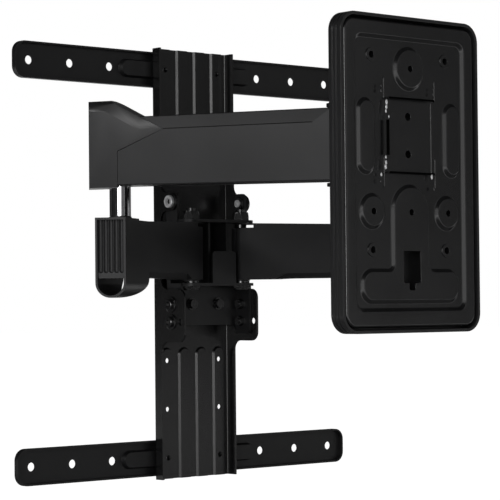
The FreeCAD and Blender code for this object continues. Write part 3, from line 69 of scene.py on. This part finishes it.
# %% Camera at the photograph's angle
# The place is in metres, the angles are in degrees and the sensor is in millimetres.
CAMERA_PLACE = Vector((-1.4144, -1.7072, -0.0404))
CAMERA_TURN = 41.408
CAMERA_RISE = 1.410
CAMERA_ROLL = -0.533
SENSOR_WIDTH = 36.0
FOCAL_IN_WIDTHS = 4.1708
CLIP_NEAR = 0.05
CLIP_FAR = 60


def add_camera():
    """Long-lens camera, turned, tipped and rolled as the photograph's was."""
    data = bpy.data.cameras.new("camera")
    data.sensor_width = SENSOR_WIDTH
    data.lens = SENSOR_WIDTH * FOCAL_IN_WIDTHS
    data.clip_start = CLIP_NEAR
    data.clip_end = CLIP_FAR
    camera = bpy.data.objects.new("camera", data)
    scene.collection.objects.link(camera)
    turn = Euler((math.radians(90 + CAMERA_RISE), 0, math.radians(-CAMERA_TURN))).to_matrix()
    roll = Matrix.Rotation(math.radians(CAMERA_ROLL), 3, "Z")
    camera.location = CAMERA_PLACE
    camera.rotation_euler = (turn @ roll).to_euler()
    scene.camera = camera
    return camera


add_camera()
print("camera at", tuple(CAMERA_PLACE), "lens", SENSOR_WIDTH * FOCAL_IN_WIDTHS)

# %% [markdown]
# ## Stage and light
#
# A black product on white is lit by what it reflects. A strong lamp on black paint gives only a hot
# spot, so three soft panels do the work: a broad one on the left, a raised strip farther round that
# draws the forearms' flanks and the shoulder of the elbow cap, and a weak one in front. The floor and
# the world are white to the camera. In a mirror that white would wash out every black face, so cards
# that only mirrors see hang round the mount, and they also put the dark stripes in the polished steel.

# %% Floor, world, cards and panels
MIDDLE = Vector((-0.06, -0.2, 0.05))
FLOOR_LEVEL = -0.42
FLOOR_SIZE = 40.0
PAPER_SHADE = (0.9, 0.9, 0.9, 1)
PAPER_ROUGHNESS = 0.9
PAPER_GLOW = 0.9
WORLD_LIGHT = 0.16
WHITE = (1, 1, 1, 1)
CARD_CIRCLE = 3.0
CARD_HEIGHT = 4.0
CARD_SHADE = (0.01, 0.01, 0.01, 1)
# Each standing card: its bearing in degrees, its width in metres and its grey level.
STANDING_CARDS = {
    "left_card": (165, 4.2, 0.0),
    "back_card": (98, 4.7, 0.0),
    "front_card": (288, 6.0, 0.10),
    "right_card": (18, 5.4, 0.12),
}
# Each lying card: its height above the middle and its size in metres, and its grey level.
LYING_CARDS = {
    "roof_card": (2.2, 9.0, 0.0),
    "table_card": (-0.45, 2.6, 0.1),
}
# Each lamp: its place, width and height in metres, and its power in watts.
PANELS = {
    "left_panel": ((-2.22, -1.77, 0.43), 1.0, 1.4, 26),
    "shoulder_panel": ((-2.62, -0.2, 0.90), 1.1, 0.25, 13),
    "front_panel": ((0.9, -2.7, 0.2), 1.4, 1.6, 3.5),
}


def seen_rays(tree):
    """1 for rays from the camera, mirrors and clear pieces, 0 for the rays that light surfaces."""
    path = tree.nodes.new("ShaderNodeLightPath")
    mirrored = tree.nodes.new("ShaderNodeMath")
    mirrored.operation = "MAXIMUM"
    tree.links.new(path.outputs["Is Camera Ray"], mirrored.inputs[0])
    tree.links.new(path.outputs["Is Glossy Ray"], mirrored.inputs[1])
    every = tree.nodes.new("ShaderNodeMath")
    every.operation = "MAXIMUM"
    tree.links.new(mirrored.outputs[0], every.inputs[0])
    tree.links.new(path.outputs["Is Transmission Ray"], every.inputs[1])
    return every.outputs[0]


def light_world():
    """White to the eye, a dim even light to the surfaces."""
    world = bpy.data.worlds.new("studio")
    world.use_nodes = True
    scene.world = world
    tree = world.node_tree
    background = tree.nodes["Background"]
    background.inputs["Color"].default_value = WHITE
    level = tree.nodes.new("ShaderNodeMath")
    level.operation = "MULTIPLY_ADD"
    level.inputs[1].default_value = 1 - WORLD_LIGHT
    level.inputs[2].default_value = WORLD_LIGHT
    tree.links.new(seen_rays(tree), level.inputs[0])
    tree.links.new(level.outputs[0], background.inputs["Strength"])


def lay_floor():
    """Plain white floor that keeps a soft shadow."""
    bpy.ops.object.select_all(action="DESELECT")
    bpy.ops.mesh.primitive_plane_add(size=FLOOR_SIZE, location=(0, 0, FLOOR_LEVEL))
    floor = bpy.context.object
    floor.name = "floor"
    paper = bpy.data.materials.new("white_paper")
    paper.use_nodes = True
    tree = paper.node_tree
    shader = tree.nodes["Principled BSDF"]
    shader.inputs["Base Color"].default_value = PAPER_SHADE
    shader.inputs["Roughness"].default_value = PAPER_ROUGHNESS
    shader.inputs["Specular IOR Level"].default_value = 0.0
    shader.inputs["Emission Color"].default_value = WHITE
    glow = tree.nodes.new("ShaderNodeMath")
    glow.operation = "MULTIPLY"
    glow.inputs[1].default_value = PAPER_GLOW
    tree.links.new(seen_rays(tree), glow.inputs[0])
    tree.links.new(glow.outputs[0], shader.inputs["Emission Strength"])
    floor.data.materials.append(paper)
    return floor


def on_circle(bearing):
    """Place beside the mount, level with its middle, at a bearing in degrees."""
    turn = math.radians(bearing)
    return MIDDLE + CARD_CIRCLE * Vector((math.cos(turn), math.sin(turn), 0))


def face_middle(place):
    """Turn of a card or lamp that looks from its place to the middle of the mount."""
    return (MIDDLE - place).to_track_quat("-Z", "Y").to_euler()


def hang_card(name, place, width, height, level):
    """Card that only mirrors see, turned to the mount."""
    bpy.ops.object.select_all(action="DESELECT")
    bpy.ops.mesh.primitive_plane_add(size=1)
    card = bpy.context.object
    card.name = name
    card.scale = (width, height, 1)
    card.location = place
    card.rotation_euler = face_middle(place)
    paint = bpy.data.materials.new(name)
    paint.use_nodes = True
    shader = paint.node_tree.nodes["Principled BSDF"]
    shader.inputs["Base Color"].default_value = CARD_SHADE
    shader.inputs["Emission Color"].default_value = WHITE
    shader.inputs["Emission Strength"].default_value = level
    card.data.materials.append(paint)
    card.visible_camera = False
    card.visible_diffuse = False
    card.visible_shadow = False
    return card


def soft_panel(name, place, width, height, power):
    """Large rectangular lamp that faces the mount."""
    data = bpy.data.lights.new(name, "AREA")
    data.shape = "RECTANGLE"
    data.size = width
    data.size_y = height
    data.energy = power
    lamp = bpy.data.objects.new(name, data)
    scene.collection.objects.link(lamp)
    lamp.location = place
    lamp.rotation_euler = face_middle(Vector(place))
    return lamp


light_world()
lay_floor()
for name, (bearing, width, level) in STANDING_CARDS.items():
    hang_card(name, on_circle(bearing), width, CARD_HEIGHT, level)
for name, (rise, size, level) in LYING_CARDS.items():
    hang_card(name, MIDDLE + Vector((0, 0, rise)), size, size, level)
for name, (place, width, height, power) in PANELS.items():
    soft_panel(name, place, width, height, power)
print("stage and light ready")

# %% [markdown]
# ## Finishes
#
# Nearly everything on the mount is black, and the differences are in the surface: powder-coated
# steel is faintly pebbled, moulded covers have a finer, drier grain, and black-oxide screws are
# smoother and catch light. Each finish is a small network of noise in object coordinates: a coarse
# cloud moves the colour and gloss a little from place to place, and a fine grain drives the bump.
# The mirror level of a finish says how strongly it shows the panels and cards.

# %% Finish networks
PAINT_MIRROR = 0.4
OXIDE_MIRROR = 1.0
OXIDE_ROUGHNESS = 0.2
METAL_MIRROR = 0.5
PAINT_BLUE = 1.06
PLASTIC_BLUE = 1.04
OXIDE_BLUE = 1.05
CLOUD_DETAIL = 4
CLOUD_LOW = 0.3
CLOUD_HIGH = 0.7
GRAIN_DETAIL = 3
GRAIN_STRENGTH = 0.35


def grained_finish(name, colour, metallic, roughness, grain_size, grain_depth, cloud_size, spread,
                   mirror):
    """Principled finish with cloudy colour and gloss and a fine grain of bumps."""
    material = bpy.data.materials.new(name)
    material.use_nodes = True
    tree = material.node_tree
    shader = tree.nodes["Principled BSDF"]
    shader.inputs["Metallic"].default_value = metallic
    shader.inputs["Specular IOR Level"].default_value = mirror
    place = tree.nodes.new("ShaderNodeTexCoord")
    cloud = tree.nodes.new("ShaderNodeTexNoise")
    cloud.inputs["Scale"].default_value = 1 / cloud_size
    cloud.inputs["Detail"].default_value = CLOUD_DETAIL
    tree.links.new(place.outputs["Object"], cloud.inputs["Vector"])
    tint = tree.nodes.new("ShaderNodeValToRGB")
    low = [channel * (1 - spread) for channel in colour]
    high = [channel * (1 + spread) for channel in colour]
    tint.color_ramp.elements[0].position = CLOUD_LOW
    tint.color_ramp.elements[0].color = (*low, 1)
    tint.color_ramp.elements[1].position = CLOUD_HIGH
    tint.color_ramp.elements[1].color = (*high, 1)
    tree.links.new(cloud.outputs["Fac"], tint.inputs["Fac"])
    tree.links.new(tint.outputs["Color"], shader.inputs["Base Color"])
    grain = tree.nodes.new("ShaderNodeTexNoise")
    grain.inputs["Scale"].default_value = 1 / grain_size
    grain.inputs["Detail"].default_value = GRAIN_DETAIL
    tree.links.new(place.outputs["Object"], grain.inputs["Vector"])
    gloss = tree.nodes.new("ShaderNodeMapRange")
    gloss.inputs["To Min"].default_value = roughness * (1 - spread / 2)
    gloss.inputs["To Max"].default_value = roughness * (1 + spread / 2)
    tree.links.new(cloud.outputs["Fac"], gloss.inputs["Value"])
    tree.links.new(gloss.outputs["Result"], shader.inputs["Roughness"])
    bump = tree.nodes.new("ShaderNodeBump")
    bump.inputs["Strength"].default_value = GRAIN_STRENGTH
    bump.inputs["Distance"].default_value = grain_depth
    tree.links.new(grain.outputs["Fac"], bump.inputs["Height"])
    tree.links.new(bump.outputs["Normal"], shader.inputs["Normal"])
    return material


def powder_coat(name, shade, roughness=0.42, mirror=PAINT_MIRROR):
    """Black paint baked on steel, faintly pebbled."""
    return grained_finish(name, (shade, shade, shade * PAINT_BLUE), metallic=0.0, roughness=roughness,
                          grain_size=1.1 * MM, grain_depth=0.10 * MM, cloud_size=40 * MM, spread=0.18,
                          mirror=mirror)


def moulded_plastic(name, shade, roughness=0.5, mirror=PAINT_MIRROR):
    """Black plastic with the fine grain of its mould."""
    return grained_finish(name, (shade, shade, shade * PLASTIC_BLUE), metallic=0.0, roughness=roughness,
                          grain_size=0.5 * MM, grain_depth=0.05 * MM, cloud_size=60 * MM, spread=0.15,
                          mirror=mirror)


def black_oxide(name, shade):
    """Oiled black screws and washers, smooth enough to glint."""
    return grained_finish(name, (shade, shade, shade * OXIDE_BLUE), metallic=0.0,
                          roughness=OXIDE_ROUGHNESS, grain_size=0.4 * MM, grain_depth=0.03 * MM,
                          cloud_size=5 * MM, spread=0.3, mirror=OXIDE_MIRROR)


def bright_zinc(name):
    """Pale plated steel; on the weld drops by the seat's left edge, a painted highlight."""
    return grained_finish(name, (0.74, 0.74, 0.75), metallic=0.6, roughness=0.42, grain_size=0.6 * MM,
                          grain_depth=0.02 * MM, cloud_size=3 * MM, spread=0.15, mirror=METAL_MIRROR)


def painted_gap_shade(name):
    """Painted shade: near black without a mirror, standing in for the shade inside a deep gap."""
    return grained_finish(name, (0.002, 0.002, 0.002), metallic=0.0, roughness=0.9, grain_size=1.0 * MM,
                          grain_depth=0.02 * MM, cloud_size=10 * MM, spread=0.2, mirror=0.0)


def polished_chrome(name):
    """Plated and polished shafts."""
    return grained_finish(name, (0.72, 0.72, 0.74), metallic=1.0, roughness=0.09, grain_size=4 * MM,
                          grain_depth=0.005 * MM, cloud_size=12 * MM, spread=0.08,
                          mirror=METAL_MIRROR)


FINISHES = {
    "strap_paint": powder_coat("strap_paint", 0.007),
    "channel_paint": powder_coat("channel_paint", 0.004, roughness=0.26, mirror=0.6),
    "bracket_paint": powder_coat("bracket_paint", 0.008),
    "plate_paint": powder_coat("plate_paint", 0.007, roughness=0.22, mirror=0.7),
    "tube_paint": powder_coat("tube_paint", 0.014),
    "rear_cover_plastic": moulded_plastic("rear_cover_plastic", 0.016, roughness=0.42, mirror=0.2),
    "fore_cover_plastic": moulded_plastic("fore_cover_plastic", 0.015, roughness=0.33),
    "cap_plastic": moulded_plastic("cap_plastic", 0.015, roughness=0.33),
    "tray_plastic": moulded_plastic("tray_plastic", 0.012, roughness=0.36),
    "bushing_plastic": moulded_plastic("bushing_plastic", 0.025),
    "shaft_chrome": polished_chrome("shaft_chrome"),
    "bright_bolt": bright_zinc("bright_bolt"),
    "dark_bolt": black_oxide("dark_bolt", 0.006),
    "dark_washer": black_oxide("dark_washer", 0.006),
    # Painted shade for the strips laid in the seat's gaps.
    "slit_shadow": painted_gap_shade("slit_shadow"),
}


def give_finish(piece, slot):
    """Put one finish, and nothing else, on a piece."""
    piece.data.materials.clear()
    piece.data.materials.append(FINISHES[slot])


for name, node in nodes.items():
    give_finish(node, slot_of_node[name])
print(len(FINISHES), "finishes on", len(nodes), "nodes")

# %% [markdown]
# ## Edges that catch light
#
# A mould never gives a knife edge, and neither does bent or powder-coated sheet: each edge has a
# small radius that shows as a thin highlight. The solids have sharp edges, so each visible one is
# copied, its triangles are merged back into whole faces, and a bevel rounds the sharp edges. The
# copy stands for the solid and rides on the same body. Two kinds of piece need their own limit of
# what counts as an edge: the forearm covers keep their slight crease, and the pressed plate flows.

# %% Softened copies
# The width of the rounded edges of each piece, in millimetres.
SOFT_EDGES = {
    "top_strap": 0.6, "bottom_strap": 0.6, "wall_channel": 0.5, "hinge_bracket": 0.5,
    "left_rear_arm_cover": 0.7, "right_rear_arm_cover": 0.7,
    "left_forearm_cover": 0.7, "right_forearm_cover": 0.7,
    "left_elbow_cap": 0.6, "right_elbow_cap": 0.6,
    "head_tray": 0.6, "tv_plate": 0.5, "head_yoke": 0.5, "tilt_bracket": 0.4,
    "left_elbow_shaft": 0.5, "right_elbow_shaft": 0.5,
    "wall_hinge_bolts": 0.5, "wall_hinge_nuts": 0.5, "wall_hinge_washers": 0.4,
    "head_hinge_bolts": 0.5, "head_hinge_nuts": 0.5, "head_hinge_washers": 0.4,
    "bracket_lock_bolts": 0.4, "bracket_lock_nuts": 0.4, "bracket_lock_washers": 0.4,
    "bracket_pivot_bolts": 0.4, "bracket_pivot_nuts": 0.4, "level_set_screws": 0.5,
    "tilt_bolts": 0.4, "tilt_nuts": 0.4, "tilt_washers": 0.3,
}
MERGE_DISTANCE = 0.01 * MM
FLAT_ANGLE = math.radians(0.5)
BEVEL_SEGMENTS = 2
SHARP_ANGLE = math.radians(25)
CREASE_ANGLE = math.radians(10)
PRESSED_ANGLE = math.radians(60)
CREASED = {"left_forearm_cover", "right_forearm_cover"}
PRESSED = {"tv_plate"}


def smooth_limit(node):
    """Angle above which two faces of a node meet in an edge."""
    if node in CREASED:
        return CREASE_ANGLE
    return PRESSED_ANGLE if node in PRESSED else SHARP_ANGLE


def soften(node, width):
    """Copy of a node with its sharp edges rounded by a small bevel."""
    bpy.ops.object.select_all(action="DESELECT")
    source = nodes[node]
    piece = bpy.data.objects.new(node + "_soft", source.data.copy())
    scene.collection.objects.link(piece)
    piece.select_set(True)
    bpy.context.view_layer.objects.active = piece
    bpy.ops.object.mode_set(mode="EDIT")
    bpy.ops.mesh.select_all(action="SELECT")
    bpy.ops.mesh.remove_doubles(threshold=MERGE_DISTANCE)
    bpy.ops.mesh.dissolve_limited(angle_limit=FLAT_ANGLE)
    bpy.ops.object.mode_set(mode="OBJECT")
    bevel = piece.modifiers.new("edges", "BEVEL")
    bevel.width = width * MM
    bevel.segments = BEVEL_SEGMENTS
    bevel.limit_method = "ANGLE"
    bevel.angle_limit = SHARP_ANGLE
    bevel.use_clamp_overlap = True
    bpy.ops.object.modifier_apply(modifier="edges")
    bpy.ops.object.shade_smooth_by_angle(angle=smooth_limit(node))
    flat = piece.modifiers.new("flat_faces", "WEIGHTED_NORMAL")
    flat.keep_sharp = True
    bpy.ops.object.modifier_apply(modifier="flat_faces")
    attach(piece, body_of_node[node])
    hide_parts(node)
    return piece


softened = {node: soften(node, width) for node, width in SOFT_EDGES.items()}
print("softened", len(softened), "pieces")

# %% [markdown]
# ## Small marks
#
# A few things on the photograph are too small for the frame. The tilt bracket is welded through the
# plate's slots, and the welds stand proud as drops; along the seat's left edge their bright zinc is a
# painted highlight for their glints. Near-black strips in the gaps round the bracket's seat are painted
# shade, as is a dark disc on the floor of each bright pivot bolt's socket. A dark seam runs along each
# crease of a forearm cover. Each mark rides on its own body.

# %% Welds, painted glints, painted shade in gaps and sockets, and seams
WELD_FACE = -0.4221
WELD_ROOT = 0.2 * MM
DROP_SEGMENTS = 16
DROP_RINGS = 10
DROP_SHAPE = (0.7, 0.4, 1.3)
# Each drop: its place across and up on the plate, and its radius, in millimetres.
# Real weld drops whose bright zinc finish is a painted highlight standing in for their glints.
PAINTED_GLINT_WELDS = [
    (-120.3, 132.9, 1.9), (-120.6, 128.6, 1.7), (-121.2, 124.9, 1.3), (-117.6, 120.2, 1.1),
    (-121.8, 84.5, 1.2), (-121.6, 79.9, 1.6), (-122.2, 76.0, 1.9), (-127.6, 69.0, 1.4),
    (-64.2, 68.9, 1.8),
]
PAINTED_WELDS = [
    (-127.2, 142.8, 1.5), (-127.0, 147.0, 1.2), (-128.6, 63.5, 1.3),
    (-61.6, 58.4, 1.4), (-61.4, 143.0, 1.3), (-61.0, 147.5, 1.1),
]
# Each strip of painted shade in a gap: its middle across and up on the plate, its width and its height,
# in millimetres.
SEAT_SLIT_SHADES = [(-88.8, 137.0, 57.0, 1.7), (-88.8, 71.5, 57.0, 1.7), (-119.0, 102.0, 3.6, 31.0)]
SLIT_SKIN = 0.3 * MM
SLIT_EDGE = SLIT_SKIN / 4
# Painted shade in the pivot bolts' sockets: a dark six-sided disc at each socket's floor.
SOCKET_SIDES = 6
SOCKET_R = 2.9 * MM
SOCKET_FLOOR = 52.1 * MM
SOCKET_DEPTH = 0.4 * MM
SOCKET_RIM = SOCKET_R / 3
SOCKET_DISH = 0.1 * MM
PIVOT_OUT = 36.5 * MM
PIVOT_UP = 63.5 * MM
SEAM_LENGTH = 60 * MM
SEAM_R = 0.45 * MM
SEAM_SIDES = 8
END_FACE = 0.9


def small_mark(name, body, slot, finish=None):
    """Finish the active object as a small piece of a body."""
    piece = bpy.context.object
    piece.name = name
    bpy.ops.object.transform_apply(location=True, rotation=True, scale=True)
    bpy.ops.object.shade_smooth_by_angle(angle=SHARP_ANGLE)
    give_finish(piece, finish or slot)
    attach(piece, body)
    return piece


def join_pieces(pieces):
    """Make one object of several, and leave it active."""
    bpy.ops.object.select_all(action="DESELECT")
    for piece in pieces:
        piece.select_set(True)
    bpy.context.view_layer.objects.active = pieces[0]
    bpy.ops.object.join()


def inset_ends(piece, thickness, depth):
    """Inset both flat ends of an upright piece; a negative depth dishes them."""
    bpy.ops.object.mode_set(mode="EDIT")
    bpy.ops.mesh.select_mode(type="FACE")
    bpy.ops.mesh.select_all(action="DESELECT")
    bpy.ops.object.mode_set(mode="OBJECT")
    for face in piece.data.polygons:
        face.select = abs(face.normal.z) > END_FACE
    bpy.ops.object.mode_set(mode="EDIT")
    bpy.ops.mesh.inset(thickness=thickness, depth=depth)
    bpy.ops.object.mode_set(mode="OBJECT")


def weld_drops(name, places, slot):
    """One piece of flattened drops, taller than wide, along the welded slots."""
    drops = []
    for x, up, radius in places:
        bpy.ops.mesh.primitive_uv_sphere_add(segments=DROP_SEGMENTS, ring_count=DROP_RINGS,
                                             radius=radius * MM,
                                             location=(x * MM, WELD_FACE, up * MM))
        drop = bpy.context.object
        drop.scale = DROP_SHAPE
        bpy.ops.object.transform_apply(location=True, rotation=True, scale=True)
        bpy.ops.object.mode_set(mode="EDIT")
        bpy.ops.mesh.select_all(action="SELECT")
        bpy.ops.mesh.bisect(plane_co=(0, WELD_FACE + WELD_ROOT, 0), plane_no=(0, 1, 0), use_fill=True,
                            clear_outer=True)
        bpy.ops.object.mode_set(mode="OBJECT")
        drops.append(drop)
    join_pieces(drops)
    return small_mark(name, body_of_node["tv_plate"], slot)


def seat_slit_shade():
    """Painted shade: near-black strips in the gaps along three edges of the bracket's seat, each with
    rounded edges.
    """
    shade_strips = []
    for x, up, width, height in SEAT_SLIT_SHADES:
        bpy.ops.mesh.primitive_cube_add(size=1, location=(x * MM, WELD_FACE, up * MM))
        shade_strip = bpy.context.object
        shade_strip.scale = (width * MM, SLIT_SKIN, height * MM)
        bpy.ops.object.transform_apply(location=True, rotation=True, scale=True)
        shade_strips.append(shade_strip)
    join_pieces(shade_strips)
    bpy.ops.object.mode_set(mode="EDIT")
    bpy.ops.mesh.select_all(action="SELECT")
    bpy.ops.mesh.bevel(offset=SLIT_EDGE, segments=BEVEL_SEGMENTS, affect="EDGES")
    bpy.ops.object.mode_set(mode="OBJECT")
    return small_mark("seat_slit_shade", body_of_node["tv_plate"], "plate_paint", "slit_shadow")


def creases(mesh):
    """Ends of the long edges where two faces meet at a slight angle."""
    normals = {}
    for face in mesh.polygons:
        for key in face.edge_keys:
            normals.setdefault(key, []).append(face.normal)
    found = []
    for edge in mesh.edges:
        start, end = (mesh.vertices[index].co for index in edge.vertices)
        sides = normals.get(edge.key, [])
        slight = len(sides) == 2 and CREASE_ANGLE < sides[0].angle(sides[1]) < SHARP_ANGLE
        if slight and (end - start).length > SEAM_LENGTH:
            found.append((start.copy(), end.copy()))
    return found


def lay_seams(node):
    """Thin dark strips sunk along the creases of a cover."""
    strips = []
    for start, end in creases(softened[node].data):
        bpy.ops.object.select_all(action="DESELECT")
        bpy.ops.mesh.primitive_cylinder_add(vertices=SEAM_SIDES, radius=SEAM_R,
                                            depth=(end - start).length,
                                            location=(start + end) / 2)
        strip = bpy.context.object
        inset_ends(strip, SEAM_R / 2, SEAM_R)
        strip.rotation_euler = (end - start).to_track_quat("Z", "Y").to_euler()
        strips.append(strip)
    join_pieces(strips)
    return small_mark(node.replace("cover", "seams"), body_of_node[node], "dark_bolt")


def pivot_socket_shades():
    """Painted shade: a dark six-sided disc on the floor of each pivot bolt's socket."""
    for side, name in ((-1, "left_pivot_socket_shade"), (1, "right_pivot_socket_shade")):
        bpy.ops.object.select_all(action="DESELECT")
        bpy.ops.mesh.primitive_cylinder_add(vertices=SOCKET_SIDES, radius=SOCKET_R, depth=SOCKET_DEPTH,
                                            location=(side * SOCKET_FLOOR, -PIVOT_OUT, PIVOT_UP),
                                            rotation=(0, math.radians(90), 0))
        inset_ends(bpy.context.object, SOCKET_RIM, -SOCKET_DISH)
        small_mark(name, body_of_node["bracket_pivot_bolts"], "dark_bolt")


# The bright zinc on these drops is a painted highlight; the other drops keep their dark paint.
weld_drops("painted_glint_welds", PAINTED_GLINT_WELDS, "bright_bolt")
weld_drops("painted_welds", PAINTED_WELDS, "dark_bolt")
# Painted shade: near-black strips in the seat's gaps.
seat_slit_shade()
# Painted shade: a dark disc in each pivot bolt's socket.
pivot_socket_shades()
for node in sorted(CREASED):
    lay_seams(node)
print("marked", len(PAINTED_GLINT_WELDS) + len(PAINTED_WELDS), "welds, the seat's gaps, sockets and seams")
